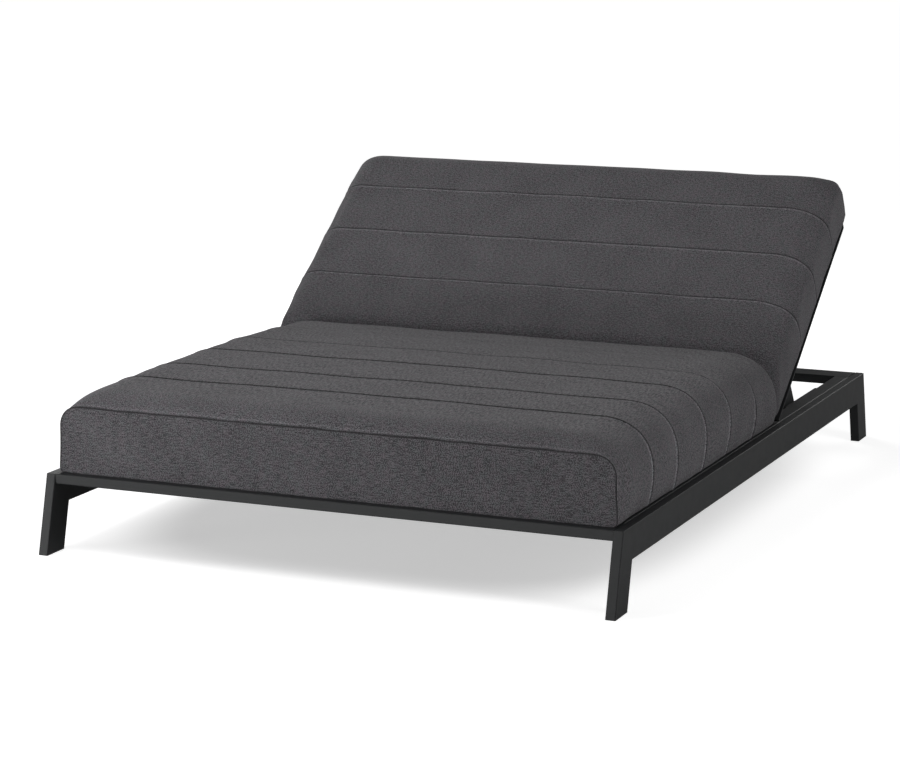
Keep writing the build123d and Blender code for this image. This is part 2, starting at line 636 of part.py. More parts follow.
def seat_cushion():
    """Seat cushion on the deck; its rear end leans forwards to make room for the back cushion."""
    front = -END_Y + CUSHION_INSET
    rear = BEAM_REAR_Y - SEAT_REAR_GAP
    top = FRAME_HEIGHT + SEAT_THICKNESS
    rear_top = rear - SEAT_THICKNESS * math.tan(math.radians(SEAT_REAR_LEAN))
    return rounded_cushion(
        side_polygon((front, FRAME_HEIGHT), (rear, FRAME_HEIGHT), (rear_top, top), (front, top))
    )


def back_cushion():
    """Back cushion on the backrest; its lower end is bevelled to clear the seat when raised."""
    top_w = BACK_TOP_W + BACK_THICKNESS
    end = BACK_LENGTH + BACK_CUSHION_OVERHANG
    bevel = BACK_THICKNESS * math.tan(math.radians(BACK_BEVEL))
    outline = side_polygon((0, BACK_TOP_W), (end, BACK_TOP_W), (end, top_w), (bevel, top_w))
    return back_frame(rounded_cushion(outline))


def write(shape, name):
    """Save one piece."""
    export_step(shape, f"parts/{name}.step")


def write_pair(shape, name):
    """Save a right-hand piece and its left-hand copy."""
    write(shape, f"{name}_right")
    write(other_side(shape), f"{name}_left")


def write_group(pieces, name):
    """Save right-hand pieces and their left-hand copies as one group of separate solids."""
    write(Compound(children=pieces + [other_side(one) for one in pieces]), name)


def write_corners(shape, name):
    """Save a rear right-hand piece and its copies at the other three corners."""
    write_pair(shape, f"{name}_rear")
    write_pair(mirror(shape, about=Plane.XZ), f"{name}_front")


def write_base():
    write_pair(side_rail(), "side_rail")
    write_corners(leg(), "leg")
    write_corners(foot_glide(), "foot_glide")
    write(crossbar(), "head_crossbar")
    write(mirror(crossbar(), about=Plane.XZ), "foot_crossbar")
    write_pair(ledge(), "ledge")
    write(hinge_beam(), "hinge_beam")
    write(deck_spine(), "deck_spine")
    for row in range(SLAT_ROWS):
        slat = seat_slat(row)
        write(slat, f"seat_slat_right_{row + 1}")
        write(other_side(slat), f"seat_slat_left_{row + 1}")
    write_pair(hinge_bracket(), "hinge_bracket")
    write_pair(hinge_pin(), "hinge_pin")
    write_group([hinge_pin_ring()], "hinge_pin_rings")
    write_pair(notch_plate(), "notch_plate")
    write(frame_screws(), "frame_screws")
    write(seat_cushion(), "seat_cushion")


def write_backrest():
    write_pair(back_stile(), "back_stile")
    write_pair(back_rim_side(), "back_rim")
    write(back_rim_top(), "back_rim_top")
    bottom_u = BACK_RAIL_START + BACK_RAIL_WIDTH / 2
    write(back_crossmember(bottom_u, BACK_RAIL_WIDTH, BACK_TOP_W), "back_bottom_rail")
    top_u = STILE_END - BACK_RAIL_WIDTH / 2
    write(back_crossmember(top_u, BACK_RAIL_WIDTH, STILE_THICKNESS / 2), "back_top_rail")
    for index in range(BACK_SLAT_COUNT):
        slat = back_crossmember(back_slat_place(index), BACK_SLAT_WIDTH, BACK_TOP_W)
        write(slat, f"back_slat_{index + 1}")
    write_pair(stile_bush(HINGE_PIN_RADIUS, 0), "hinge_bush")
    write(landing_bumpers(), "landing_bumpers")
    write_group([prop_bolt()], "prop_pivot_bolts")
    write_group([stile_bush(PROP_BOLT_RADIUS, PROP_PIVOT_DISTANCE)], "prop_bushes")
    write_group([prop_washer()], "prop_washers")
    write_group([stile_upper_plug(), stile_lower_cap()], "stile_end_plugs")
    write(back_cushion(), "back_cushion")


def write_prop():
    write_pair(prop_arm(), "prop_arm")
    write(foot_bar(), "foot_bar")
    write_group([foot_bar_collar()], "foot_bar_collars")


os.makedirs("parts", exist_ok=True)
write_base()
write_backrest()
write_prop()
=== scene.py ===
import json
import math

import bpy
import numpy as np
from mathutils import Matrix, Vector


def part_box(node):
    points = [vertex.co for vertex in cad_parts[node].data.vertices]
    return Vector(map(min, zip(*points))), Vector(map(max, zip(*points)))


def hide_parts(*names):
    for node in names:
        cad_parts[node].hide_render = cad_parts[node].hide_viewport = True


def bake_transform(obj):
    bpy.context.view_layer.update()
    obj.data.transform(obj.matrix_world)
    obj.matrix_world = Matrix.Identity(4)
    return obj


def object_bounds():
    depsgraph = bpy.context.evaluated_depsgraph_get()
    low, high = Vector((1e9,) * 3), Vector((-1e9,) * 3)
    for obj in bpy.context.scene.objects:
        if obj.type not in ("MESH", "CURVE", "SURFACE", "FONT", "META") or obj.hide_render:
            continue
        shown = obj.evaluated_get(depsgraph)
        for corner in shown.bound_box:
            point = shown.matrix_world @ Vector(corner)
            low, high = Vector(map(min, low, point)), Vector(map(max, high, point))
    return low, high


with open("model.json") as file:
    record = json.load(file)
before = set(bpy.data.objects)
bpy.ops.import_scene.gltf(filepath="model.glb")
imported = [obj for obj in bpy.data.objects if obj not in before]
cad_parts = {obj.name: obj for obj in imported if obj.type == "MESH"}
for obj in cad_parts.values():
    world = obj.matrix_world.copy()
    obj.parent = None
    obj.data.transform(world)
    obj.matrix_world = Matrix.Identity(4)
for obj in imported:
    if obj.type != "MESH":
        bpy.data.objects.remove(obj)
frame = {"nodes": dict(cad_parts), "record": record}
CAD_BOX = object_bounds()

# Double chaise lounger. Metres, +Z up, +Y towards the head end, +X to the right seen from the
# foot end.

# Camera
IMAGE_WIDTH = 900
FOCAL_PIXELS = 2856.9
SENSOR = 36.0
CAMERA_FAR = 100.0
CAMERA_PLACE = Vector((2.84812, -6.90947, 1.76241))
CAMERA_LOOK = Vector((-0.386597, 0.901815, -0.193063))

# Studio. Looked at directly, the pale floor is lifted towards white: from FLOOR_UNDER under the
# object to FLOOR_BESIDE across the edge of its footprint, and on to 1 far away. The smaller lift
# under the object paints a shadow there, on top of the floor's real shadow.
FLOOR_HALF = 30.0
FLOOR_DROP = 0.0005  # how far it lies below the feet, so that no two faces coincide
FLOOR_COLOUR = (0.70, 0.70, 0.70, 1.0)
# painted shadow: the floor is lifted less under the object
FLOOR_UNDER = 0.50
FLOOR_BESIDE = 0.80
FOOTPRINT_POWER = 4.0  # of the superellipse that stands for the footprint
FOOTPRINT_EDGE = (0.80, 1.06)  # where the lift starts and ends; 1 is the object's own outline
FLOOR_FAR = (1.5, 2.6)  # distances from the middle between which it goes on to 1
FLOOR_FRONT = (-1.0, -1.5)  # y from which on the floor in front glows fully in reflections, a painted light that brightens the frame's front faces
WORLD_LEVEL = 0.02
GLOSS_SHARE = 0.10  # how much of the white surroundings a reflection picks up
WHITE = (1.0, 1.0, 1.0, 1.0)
LIGHT_AIM = (0.0, 0.0, 0.3)
LIGHTS = (
    # name, place, width and height, watts
    ("rear_left", (-2.2, 2.4, 2.4), (1.8, 1.8), 34),
    ("rear_low", (1.2, 4.2, 1.3), (2.0, 1.2), 17),
    ("near_top_left", (-0.9, -1.4, 2.5), (1.2, 1.2), 27),
    ("front_low", (-0.8, -4.2, 0.4), (3.0, 0.7), 37),
    ("left_low", (-2.1, -2.5, 0.4), (0.8, 0.6), 14),
    ("right", (3.6, -1.0, 1.6), (1.8, 1.8), 48),
)

# Cover cloth. Noises are given by their cells per metre across and along the cloth.
LONG_FLECKS = (330.0, 50.0, 0.0)
SHORT_FLECKS = (190.0, 150.0, 0.0)
PLAIN_FLECKS = (110.0, 240.0, 0.0)
FINE_GRAIN = (400.0, 400.0, 0.0)
PATCHES = (7.0, 7.0, 0.0)
HUE_SPOTS = (48.0, 48.0, 0.0)
FLECK_SHARE, GRAIN_SHARE, PATCH_SHARE = 0.30, 0.62, 0.08
DARK_YARN = (0.0345, 0.0338, 0.0360)
LIGHT_YARN = (0.1475, 0.1445, 0.1495)
HUES = ((0.96, 1.0, 1.01), (1.06, 0.97, 1.03))
PAINTED_MARK_RANGE = (-2.4, 1.5)  # of the painted mark, from the painted highlight on a folded edge to the painted shade in a groove
PAINTED_MARK_LEVELS = (2.44, 0.10)  # how much lighter or darker the painted mark makes the cloth, against 1 where the mark is 0
THREAD_PITCH = 0.0011

# Frame
COAT_COLOUR = (0.0120, 0.0130, 0.0138)
STEEL_GREYS = ((0.42, 0.42, 0.41), (0.60, 0.60, 0.58))
STEEL_LINES = (2200.0, 60.0, 60.0)  # cells per metre of the brushing

# Frame lines that the cushions are fitted to
JOINTS = frame["record"]["behaviour"]["joints"]
RECLINE = next(joint for joint in JOINTS if joint["name"] == "backrest_recline")
HINGE_Y, HINGE_Z = RECLINE["pos_m"][1:]
BACK_ANGLE = math.radians(-RECLINE["range_deg"][0])
BACK_PLANE = 0.0185  # from the hinge line to the plane the back cushion lies on
DECK_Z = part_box("side_rail_left")[1].z

# Where the two cushions press together, as (y, z) low and high, and the stretch that bends there
MEET_LOW = (0.2490, 0.2000)
MEET_HIGH = (0.2140, 0.3900)
MEET_GAP = 0.0012  # each cushion stays this far from that line
MEET_REACH = 0.30  # how far the slant of the meeting ends fades into a cushion

# The cushions at their seams; the stuffing swells a little past these sizes. Lengths, seams and
# rolls run from the meeting end. Bulges, tapers and corners are right, then left.
SEAT = {
    "length": 1.2497,
    "heights": (  # (distance from the meeting end, height) along the middle
        (0.0, 0.1945), (0.10, 0.1975), (0.23, 0.2030), (0.44, 0.2090),
        (0.64, 0.2107), (0.85, 0.2100), (1.03, 0.2068), (1.25, 0.204),
    ),
    "half_width": 0.7255,
    "bottom_round": 0.010,
    "bulge": (0.0085, 0.0085),  # of the sides, past the half width
    "taper": (0.0, 0.0),  # how much the bulge grows per metre of length
    "end_bulge": (-0.003, -0.003),  # the bulge at the end panel
    "corner": ((0.135, 0.130), (0.133, 0.122)),  # of the upper edges, across and down
    "end_corner": (0.055, 0.055),  # both at the end panel
    "end_seam_height": 0.1650,
    "end_roll": 0.075,  # length over which the cushion rolls down to its end panel
    "meet_roll": 0.045,  # radius of the roll at the meeting end
    "swell": 0.0008,  # the most that the stuffing moves the cover
    "seams": (0.225, 0.441, 0.632, 0.848, 1.028),
    "on_top": (0.12, 0.55, 1.0, 1.0, 1.0),  # how far each seam stays pulled in on the top
    "seam_scale": (1.7, 1.0),  # width of seam and folded edge, on the sides and on the top
    "lip_side": 1,  # the folded edge is past its seam, or before it where this is -1
    "lip_painted_highlight": 2.2,  # painted highlight: how much lighter the folded edge is painted
    "top_painted_shade": 0.9,  # painted shade: how much darker the band along a seam is painted on the top
    "meeting_painted_shade": (0.25, 0.45),  # painted shade: how much darker the cover is painted towards the meeting end, and how far that reaches
    "flecks": (-1.6, 3.2),  # on the sides and on the top; above 0 long ones, below 0 short ones
}
BACK = {
    "length": 0.7870,
    "heights": ((0.0, 0.176), (0.20, 0.178), (0.45, 0.181), (0.787, 0.179)),
    "half_width": 0.7240,
    "bottom_round": 0.008,
    "bulge": (0.0055, 0.0205),
    "taper": (0.0, -0.015),
    "end_bulge": (0.0027, -0.0130),
    "corner": ((0.118, 0.090), (0.085, 0.080)),
    "end_corner": (0.045, 0.045),
    "end_seam_height": 0.1400,
    "end_roll": 0.055,
    "meet_roll": 0.035,
    "swell": 0.0022,
    "seams": (0.264, 0.445, 0.625),
    "on_top": (1.0, 1.0, 1.0),
    "seam_scale": (1.5, 1.2),
    "lip_side": -1,
    "lip_painted_highlight": 1.2,
    "top_painted_shade": 0.0,
    "meeting_painted_shade": (0.40, 0.25),
    "flecks": (0.0, 0.0),
}
CORNER_POWER = 2.35  # of the superellipse along the upper edges
CROWN = 0.002  # how much higher the middle of the top is than its edges
ROLL_CUT = 0.92  # share of the end roll left where the end panel cuts it
ROLL_FLECKS = 0.4  # share of the end roll, from its panel, without the long flecks of the top
MEET_NARROWING = 0.6  # how much of the meeting roll's inset is also taken off each side
PANEL_REACH = 0.08  # from the edge of an end panel to its middle line

# Grids of points on the covers
GRID_COARSE = 0.014  # for the simulation
GRID_FINE = 0.0095
CLOSEST_ROWS = 0.0011
ROUND_RUN, SIDE_RUN, CORNER_RUN = 0.016, 0.09, 0.19  # rough lengths of those parts of a section
ROUND_STEP = 0.2  # the bottom round gets no more than five steps
SAME_PLACE = 1e-6
FAR_AWAY = 1e3
CLOTH_SETTINGS = {
    "use_pressure": True,
    "uniform_pressure_force": 4.0,
    "quality": 5,
    "mass": 0.25,
    "tension_stiffness": 18,
    "compression_stiffness": 18,
    "shear_stiffness": 8,
    "bending_stiffness": 1.5,
}
CLOTH_FRAMES = 20
MEET_HELD = 0.002  # the cover is held on this much of the meeting end

# Sewing
SEAM_STEPS = (0.0, 0.0011, 0.0024, 0.0040, 0.0058, 0.0078, 0.0110)  # rows of points beside a seam
SEAM_DEPTH = 0.0018
SEAM_WIDTH = 0.0019
SEAM_DRIFT = 0.0006  # how far a seam wanders to either side
DRIFT_WAVES = (0.09, 0.16, 0.31)
DIP_DEPTH = 0.0004
DIP_WIDTH = 0.0080
GATHER_SHARE = 0.25  # how much the depth of that dip changes along a seam
GATHER_WAVES = (0.021, 0.034, 0.057)
LIP_HEIGHT = 0.0009  # the folded edge that stands up beside a seam
LIP_PLACE = 0.0043
LIP_WIDTH = 0.0018
LIP_SHARE_END = (0.9, 0.3)  # of that height, and of the painted highlight on the folded edge, along the end panel's seam, at its sides and on top
END_SEAM_SCALE = 0.8  # width of that seam against the others
# painted shade in the seam grooves, on top of their real depth
GROOVE_PAINTED_SHADE = 1.4
TOP_PAINTED_SHADE_WIDTH = 0.0060  # of the band of painted shade along a seam on the top
SAG_HEIGHT = 0.0013  # slow unevenness of the stuffing
SAG_WAVES = (0.11, 0.15, 0.21, 0.28, 0.37)
PHASES = (0, 6.28)


# ---------------------------------------------------------------- materials


class Nodes:
    """Short calls for building the node tree of a material or of the world."""

    def __init__(self, name=None, tree=None):
        if tree is None:
            self.material = bpy.data.materials.new(name)
            self.material.use_nodes = True
            tree = self.material.node_tree
        self.tree = tree
        self.shader = tree.nodes.get("Principled BSDF")

    def add(self, kind, **settings):
        node = self.tree.nodes.new(kind)
        for key, value in settings.items():
            if key in node.inputs:
                node.inputs[key].default_value = value
            else:
                setattr(node, key, value)
        return node

    def link(self, out, into):
        self.tree.links.new(out, into)

    def number(self, operation, first, second=0.0):
        """Math node; each input is a socket or a number."""
        node = self.add("ShaderNodeMath", operation=operation)
        for socket, value in zip(node.inputs, (first, second)):
            if isinstance(value, (int, float)):
                socket.default_value = value
            else:
                self.link(value, socket)
        return node.outputs[0]

    def split(self, vector):
        node = self.add("ShaderNodeSeparateXYZ")
        self.link(vector, node.inputs[0])
        return node.outputs

    def noise(self, vector, scale, detail=3.0, rough=0.5):
        """Noise; scale is cells per metre, as one number or as one for each axis."""
        if isinstance(scale, tuple):
            node = self.add("ShaderNodeMapping", Scale=scale)
            self.link(vector, node.inputs["Vector"])
            vector, scale = node.outputs[0], 1.0
        node = self.add("ShaderNodeTexNoise", Scale=scale, Detail=detail, Roughness=rough)
        self.link(vector, node.inputs["Vector"])
        return node.outputs[0]

    def ramp(self, value, low, high, dark, light):
        """Colour between dark and light as value goes from low to high."""
        node = self.add("ShaderNodeValToRGB")
        stops = node.color_ramp.elements
        for stop, position, colour in zip(stops, (low, high), (dark, light)):
            stop.position = position
            stop.color = (*colour, 1)
        self.link(value, node.inputs[0])
        return node.outputs[0]

    def mapped(self, value, from_low, from_high, low, high, kind="LINEAR"):
        """Number that goes from low to high as value goes from from_low to from_high."""
        node = self.add("ShaderNodeMapRange", interpolation_type=kind)
        self.link(value, node.inputs["Value"])
        for socket, number in zip(node.inputs[1:5], (from_low, from_high, low, high)):
            socket.default_value = number
        return node.outputs[0]

    def tinted(self, colour, tint):
        """Two colours multiplied."""
        node = self.add("ShaderNodeMix", data_type="RGBA", blend_type="MULTIPLY")
        node.inputs["Factor"].default_value = 1.0
        # the node has sockets for numbers and vectors before those for colours
        self.link(colour, node.inputs[6])
        self.link(tint, node.inputs[7])
        return node.outputs[2]

    def scaled(self, colour, factor):
        node = self.add("ShaderNodeVectorMath", operation="SCALE")
        self.link(colour, node.inputs[0])
        self.link(factor, node.inputs["Scale"])
        return node.outputs[0]

    def bump(self, height, strength, distance, before=None):
        node = self.add("ShaderNodeBump", Strength=strength, Distance=distance)
        self.link(height, node.inputs["Height"])
        if before is not None:
            self.link(before, node.inputs["Normal"])
        return node.outputs[0]

    def set(self, **values):
        for key, value in values.items():
            self.shader.inputs[key.replace("_", " ")].default_value = value

    def drive(self, name, out):
        self.link(out, self.shader.inputs[name])

    def object_place(self):
        return self.add("ShaderNodeTexCoord").outputs["Object"]


def fabric_material(name, low, high, level):
    """Heathered charcoal outdoor weave; the nearer low and high are, the stronger its flecks.

    It reads two attributes of the cover. cloth holds metres across and along the cloth, and how
    strong the long flecks along it are (above 0) or the short ones (below 0). seam holds painted
    shade, above 0, where the cover is painted darker along its seams and towards the meeting end,
    and painted highlight, below 0, where its folded edges are painted lighter.
    """
    n = Nodes(name)
    cloth = n.add("ShaderNodeAttribute", attribute_name="cloth").outputs["Vector"]
    seam = n.add("ShaderNodeAttribute", attribute_name="seam").outputs["Fac"]
    across, along, turn = n.split(cloth)
    long, short, plain = (n.noise(cloth, cells, detail=2.0, rough=0.6)
                          for cells in (LONG_FLECKS, SHORT_FLECKS, PLAIN_FLECKS))
    turned = 0.0
    for noise, instead_of, sign in ((long, plain, 1.0), (short, 0.5, -1.0)):
        weight = n.number("MAXIMUM", n.number("MULTIPLY", turn, sign), 0.0)
        change = n.number("SUBTRACT", noise, instead_of)
        turned = n.number("ADD", n.number("MULTIPLY", change, weight), turned)
    flecks = n.number("ADD", plain, turned)
    grain = n.noise(cloth, FINE_GRAIN, detail=1.0, rough=0.6)
    patches = n.noise(cloth, PATCHES, detail=3.0, rough=0.5)
    mixed = 0.0
    for noise, share in ((flecks, FLECK_SHARE), (grain, GRAIN_SHARE), (patches, PATCH_SHARE)):
        mixed = n.number("ADD", n.number("MULTIPLY", noise, share), mixed)
    dark, light = ([level * c for c in colour] for colour in (DARK_YARN, LIGHT_YARN))
    grey = n.ramp(mixed, low, high, dark, light)
    hues = n.ramp(n.noise(cloth, HUE_SPOTS, detail=2.0, rough=0.6), 0.35, 0.65, *HUES)
    # painted shade and painted highlight, read from the seam attribute, scale the cloth colour
    shade = n.mapped(seam, *PAINTED_MARK_RANGE, *PAINTED_MARK_LEVELS)
    n.drive("Base Color", n.scaled(n.tinted(grey, hues), shade))
    slub = n.bump(grain, strength=0.30, distance=0.0006)
    warp, weft = (n.number("SINE", n.number("MULTIPLY", place, 2 * math.pi / THREAD_PITCH))
                  for place in (across, along))
    threads = n.number("MULTIPLY", warp, weft)
    n.drive("Normal", n.bump(threads, strength=0.30, distance=0.0002, before=slub))
    n.set(Roughness=0.92, Specular_IOR_Level=0.25, Sheen_Weight=0.15, Sheen_Roughness=0.45)
    return n.material


def coat_material(name, base):
    """Powder coat: fine orange peel, faint mottling."""
    n = Nodes(name)
    place = n.object_place()
    dark, light = ([share * c for c in base] for share in (0.92, 1.08))
    mottling = n.noise(place, 14.0, detail=4.0, rough=0.6)
    n.drive("Base Color", n.ramp(mottling, 0.3, 0.7, dark, light))
    n.drive("Roughness", n.mapped(n.noise(place, 35.0, rough=0.55), 0.0, 1.0, 0.44, 0.52))
    n.drive("Normal", n.bump(n.noise(place, 900.0, detail=2.0), strength=0.10, distance=0.0004))
    n.set(Specular_IOR_Level=0.30)
    return n.material


def steel_material(name):
    """Turned stainless steel with fine brushing."""
    n = Nodes(name)
    lines = n.noise(n.object_place(), STEEL_LINES, detail=2.0)
    n.drive("Base Color", n.ramp(lines, 0.3, 0.7, *STEEL_GREYS))
    n.drive("Normal", n.bump(lines, strength=0.15, distance=0.0001))
    n.set(Metallic=1.0, Roughness=0.32)
    return n.material


def plastic_material(name, base, roughness):
    """Moulded black plastic or rubber with a fine grain."""
    n = Nodes(name)
    place = n.object_place()
    dark, light = ([share * c for c in base] for share in (0.8, 1.25))
    n.drive("Base Color", n.ramp(n.noise(place, 40.0, detail=2.0), 0.35, 0.65, dark, light))
    grain = n.noise(place, 1400.0, detail=2.0, rough=0.6)
    n.drive("Normal", n.bump(grain, strength=0.25, distance=0.0003))
    n.set(Roughness=roughness)
    return n.material


def seen_directly(n, gloss_share=GLOSS_SHARE):
    """1 where the camera or a see-through ray looks, gloss_share in a reflection, else 0."""
    rays = n.add("ShaderNodeLightPath").outputs
    gloss = n.number("MULTIPLY", rays["Is Glossy Ray"], gloss_share)
    seen = n.number("MAXIMUM", rays["Is Camera Ray"], rays["Is Transmission Ray"])
    return n.number("MAXIMUM", seen, gloss)


def floor_material():
    """Pale matt floor, lifted towards white where looked at directly; the lift is smaller under the
    object, a painted shadow on top of the real one.
    """
    n = Nodes("pale_floor")
    place = n.object_place()
    x, y, _ = n.split(place)
    powers = []
    for way, half in zip((x, y), CAD_BOX[1]):
        share = n.number("ABSOLUTE", n.number("DIVIDE", way, half))
        powers.append(n.number("POWER", share, FOOTPRINT_POWER))
    edge = n.number("POWER", n.number("ADD", *powers), 1 / FOOTPRINT_POWER)
    # painted shadow: the lift is smaller under the object's footprint
    lift_with_painted_shadow = n.mapped(edge, *FOOTPRINT_EDGE, FLOOR_UNDER, FLOOR_BESIDE, "SMOOTHSTEP")
    away = n.add("ShaderNodeVectorMath", operation="LENGTH")
    n.link(place, away.inputs[0])
    distance = away.outputs["Value"]
    far = n.mapped(distance, *FLOOR_FAR, 0.0, 1.0 - FLOOR_BESIDE, "SMOOTHSTEP")
    forward = n.number("MULTIPLY", y, -1.0)
    # painted light: the floor in front glows fully in reflections, elsewhere only by GLOSS_SHARE
    front_reflection_glow = n.mapped(forward, *(-y for y in FLOOR_FRONT), GLOSS_SHARE, 1.0, "SMOOTHSTEP")
    lift = n.number("MULTIPLY", seen_directly(n, front_reflection_glow), n.number("ADD", lift_with_painted_shadow, far))
    n.drive("Emission Strength", lift)
    n.set(Base_Color=FLOOR_COLOUR, Emission_Color=WHITE, Roughness=1.0, Specular_IOR_Level=0.0)
    return n.material


# ---------------------------------------------------------------- cushion form


def cubic(xs, values, at):
    """Cubic Hermite interpolation along the first axis; at is inside xs."""
    slopes = np.gradient(values, xs, axis=0)
    k = np.clip(np.searchsorted(xs, at, side="right") - 1, 0, len(xs) - 2)
    shape = (-1,) + (1,) * (values.ndim - 1)
    width = (xs[k + 1] - xs[k]).reshape(shape)
    t = (at - xs[k]).reshape(shape) / width
    a, b = values[k], values[k + 1]
    return (
        a * (1 + 2 * t) * (1 - t) ** 2
        + slopes[k] * width * t * (1 - t) ** 2
        + b * t * t * (3 - 2 * t)
        - slopes[k + 1] * width * t * t * (1 - t)
    )


def one_side(q):
    """Ring coordinates of the left side turned into those of the right side, 0 to 5."""
    return np.where(q > 5, 10 - q, q)


def on_top_side(q):
    """0 on the sides of a cushion, going to 1 across its upper corners, and 1 on its top."""
    return np.clip(one_side(q) - 3, 0, 1)


def ring(q, half, bottom, bulge, height, corners, crown):
    """Closed cross-section (x, h) at the ring coordinates q.

    They go up the right side: 0 to 1 the bottom from its middle, to 2 the bottom round, to 3 the
    side, to 4 the upper corner and to 5 the top; and from there the same way down the left, to 10.
    """
    left = q > 5
    folded = one_side(q)
    part = np.clip(np.floor(folded), 0, 4).astype(int)
    t = folded - part
    turn = t * math.pi / 2
    bulge = np.where(left, bulge[1], bulge[0])
    across = np.where(left, corners[1][0], corners[0][0])
    down = np.where(left, corners[1][1], corners[0][1])
    shoulder = height - down
    flat = half + bulge - across
    power = 2 / CORNER_POWER
    x = np.choose(part, (
        t * (half - bottom),
        half - bottom + bottom * np.sin(turn),
        half + bulge * np.sin(turn),
        flat + across * np.abs(np.cos(turn)) ** power,
        flat * (1 - t),
    ))
    h = np.choose(part, (
        0 * t,
        bottom * (1 - np.cos(turn)),
        bottom + t * (shoulder - bottom),
        shoulder + down * np.abs(np.sin(turn)) ** power,
        height + crown * np.sin(turn) ** 2,
    ))
    return np.where(left, -x, x), h


def body_ring(form, v, q):
    """Cross-section at distance v from the meeting end."""
    cut = math.sqrt(1 - ROLL_CUT**2)
    lean = max(0.0, ROLL_CUT - (form["length"] - v) / form["end_roll"])
    rise = (math.sqrt(1 - lean**2) - cut) / (1 - cut)  # 1 on the body, 0 at the end panel
    places, heights = np.array(form["heights"]).T
    full = float(cubic(places, heights, np.array([min(v, places[-1])]))[0])
    height = form["end_seam_height"] + (full - form["end_seam_height"]) * rise
    corners = []
    for sizes, at_end in zip(form["corner"], form["end_corner"]):
        corners.append([at_end + (size - at_end) * rise for size in sizes])
    bulge = []
    for size, taper, at_end in zip(form["bulge"], form["taper"], form["end_bulge"]):
        size = size + taper * (v - form["length"] / 2)
        bulge.append(at_end + (size - at_end) * rise**2)
    roll = form["meet_roll"]
    inset = 0.0
    if v < roll:
        inset = roll - math.sqrt(roll**2 - (roll - v) ** 2)
    half = form["half_width"] - MEET_NARROWING * inset
    return ring(q, half, form["bottom_round"], bulge, height - inset, corners, CROWN * rise)


def end_panel_ring(edge_x, edge_h, q, share):
    """The edge ring drawn in towards the panel's middle line; a share of 1 is the line itself."""
    folded = one_side(q)
    along = np.clip(np.minimum(folded, 5 - folded), 0, 1)
    height = edge_h.max()
    reach = edge_x.max() - height / 2
    middle_x = np.where(q > 5, -1, 1) * along * reach
    return edge_x + (middle_x - edge_x) * share, edge_h + (height / 2 - edge_h) * share


def surface(form, stations, q):
    """Grid of (x, v, h) at the stations and ring coordinates.

    A station on the body is a distance from the meeting end. From 0 to -1 it goes to the middle
    line of the meeting end's panel, and from the length to the length + 1 to that of the other.
    """
    length = form["length"]
    rows = []
    for v in stations:
        on_body = min(max(v, 0.0), length)
        x, h = body_ring(form, on_body, q)
        share = -v if v < 0 else max(0.0, v - length)
        if share > 0:
            x, h = end_panel_ring(x, h, q, share)
        rows.append(np.stack((x, np.full_like(x, on_body), h), axis=-1))
    return np.array(rows)


def spaced(low, high, step):
    return np.linspace(low, high, max(2, int(round((high - low) / step)) + 1))


def ring_samples(form, step):
    """Ring coordinates with about the same spacing all round, alike on top and bottom."""
    top = spaced(0, 1, step / form["half_width"])
    bottom_round = spaced(1, 2, max(ROUND_STEP, step / ROUND_RUN))
    side = spaced(2, 3, step / SIDE_RUN)
    corner = spaced(3, 4, step / CORNER_RUN)
    half = np.unique(np.round(np.concatenate((top, bottom_round, side, corner, 4 + top)), 9))
    return np.concatenate((half, 10 - half[-2:0:-1]))


def station_samples(form, step, panel_rows, roll_rows, seam_steps=(0.0,)):
    """Stations along the cushion, with rows at its seams and close rows on its meeting roll."""
    length = form["length"]
    marks = [0.0, *form["seams"], length]
    beside = np.array(seam_steps)
    values = [spaced(a, b, step) for a, b in zip(marks, marks[1:])]
    values.append(form["meet_roll"] * (1 - np.cos(np.linspace(0, math.pi / 2, roll_rows))))
    values += [seam + side * beside for seam in form["seams"] for side in (-1, 1)]
    values.append(length - beside)
    body = np.unique(np.round(np.concatenate(values), 6))
    body = thinned(body, marks, min(step / 4, CLOSEST_ROWS))
    panel = np.linspace(0, 1, panel_rows + 1)[1:]
    panel = np.unique(np.concatenate((panel, beside[1:] / PANEL_REACH)))
    return np.concatenate((-panel[::-1], body, length + panel))


def thinned(values, keep, nearest):
    """Drops values closer than nearest to the one before, but never those in keep."""
    def is_kept(value):
        return min(abs(value - k) for k in keep) < SAME_PLACE

    result = [values[0]]
    for value in values[1:]:
        close = value - result[-1] < nearest
        if close and not is_kept(value):
            continue
        if close and not is_kept(result[-1]):
            result.pop()
        result.append(value)
    return np.array(result)


# ---------------------------------------------------------------- cushion places


def meet_line(z):
    """y of the line where the cushions meet, at height z."""
    (low_y, low_z), (high_y, high_z) = MEET_LOW, MEET_HIGH
    return low_y + (high_y - low_y) * (z - low_z) / (high_z - low_z)


def fade(v):
    """1 at the meeting end, going smoothly to 0 at MEET_REACH from it."""
    t = np.clip(1 - v / MEET_REACH, 0, 1)
    return t * t * (3 - 2 * t)


def place_on_seat(grid):
    """Seat cushion's own (x, v, h) to the object's (x, y, z)."""
    x, v, h = np.moveaxis(grid, -1, 0)
    z = DECK_Z + h
    foot = meet_line(DECK_Z)
    slant = meet_line(z) - foot
    return np.stack((x, foot - v + slant * fade(v) - MEET_GAP * fade(v), z), axis=-1)


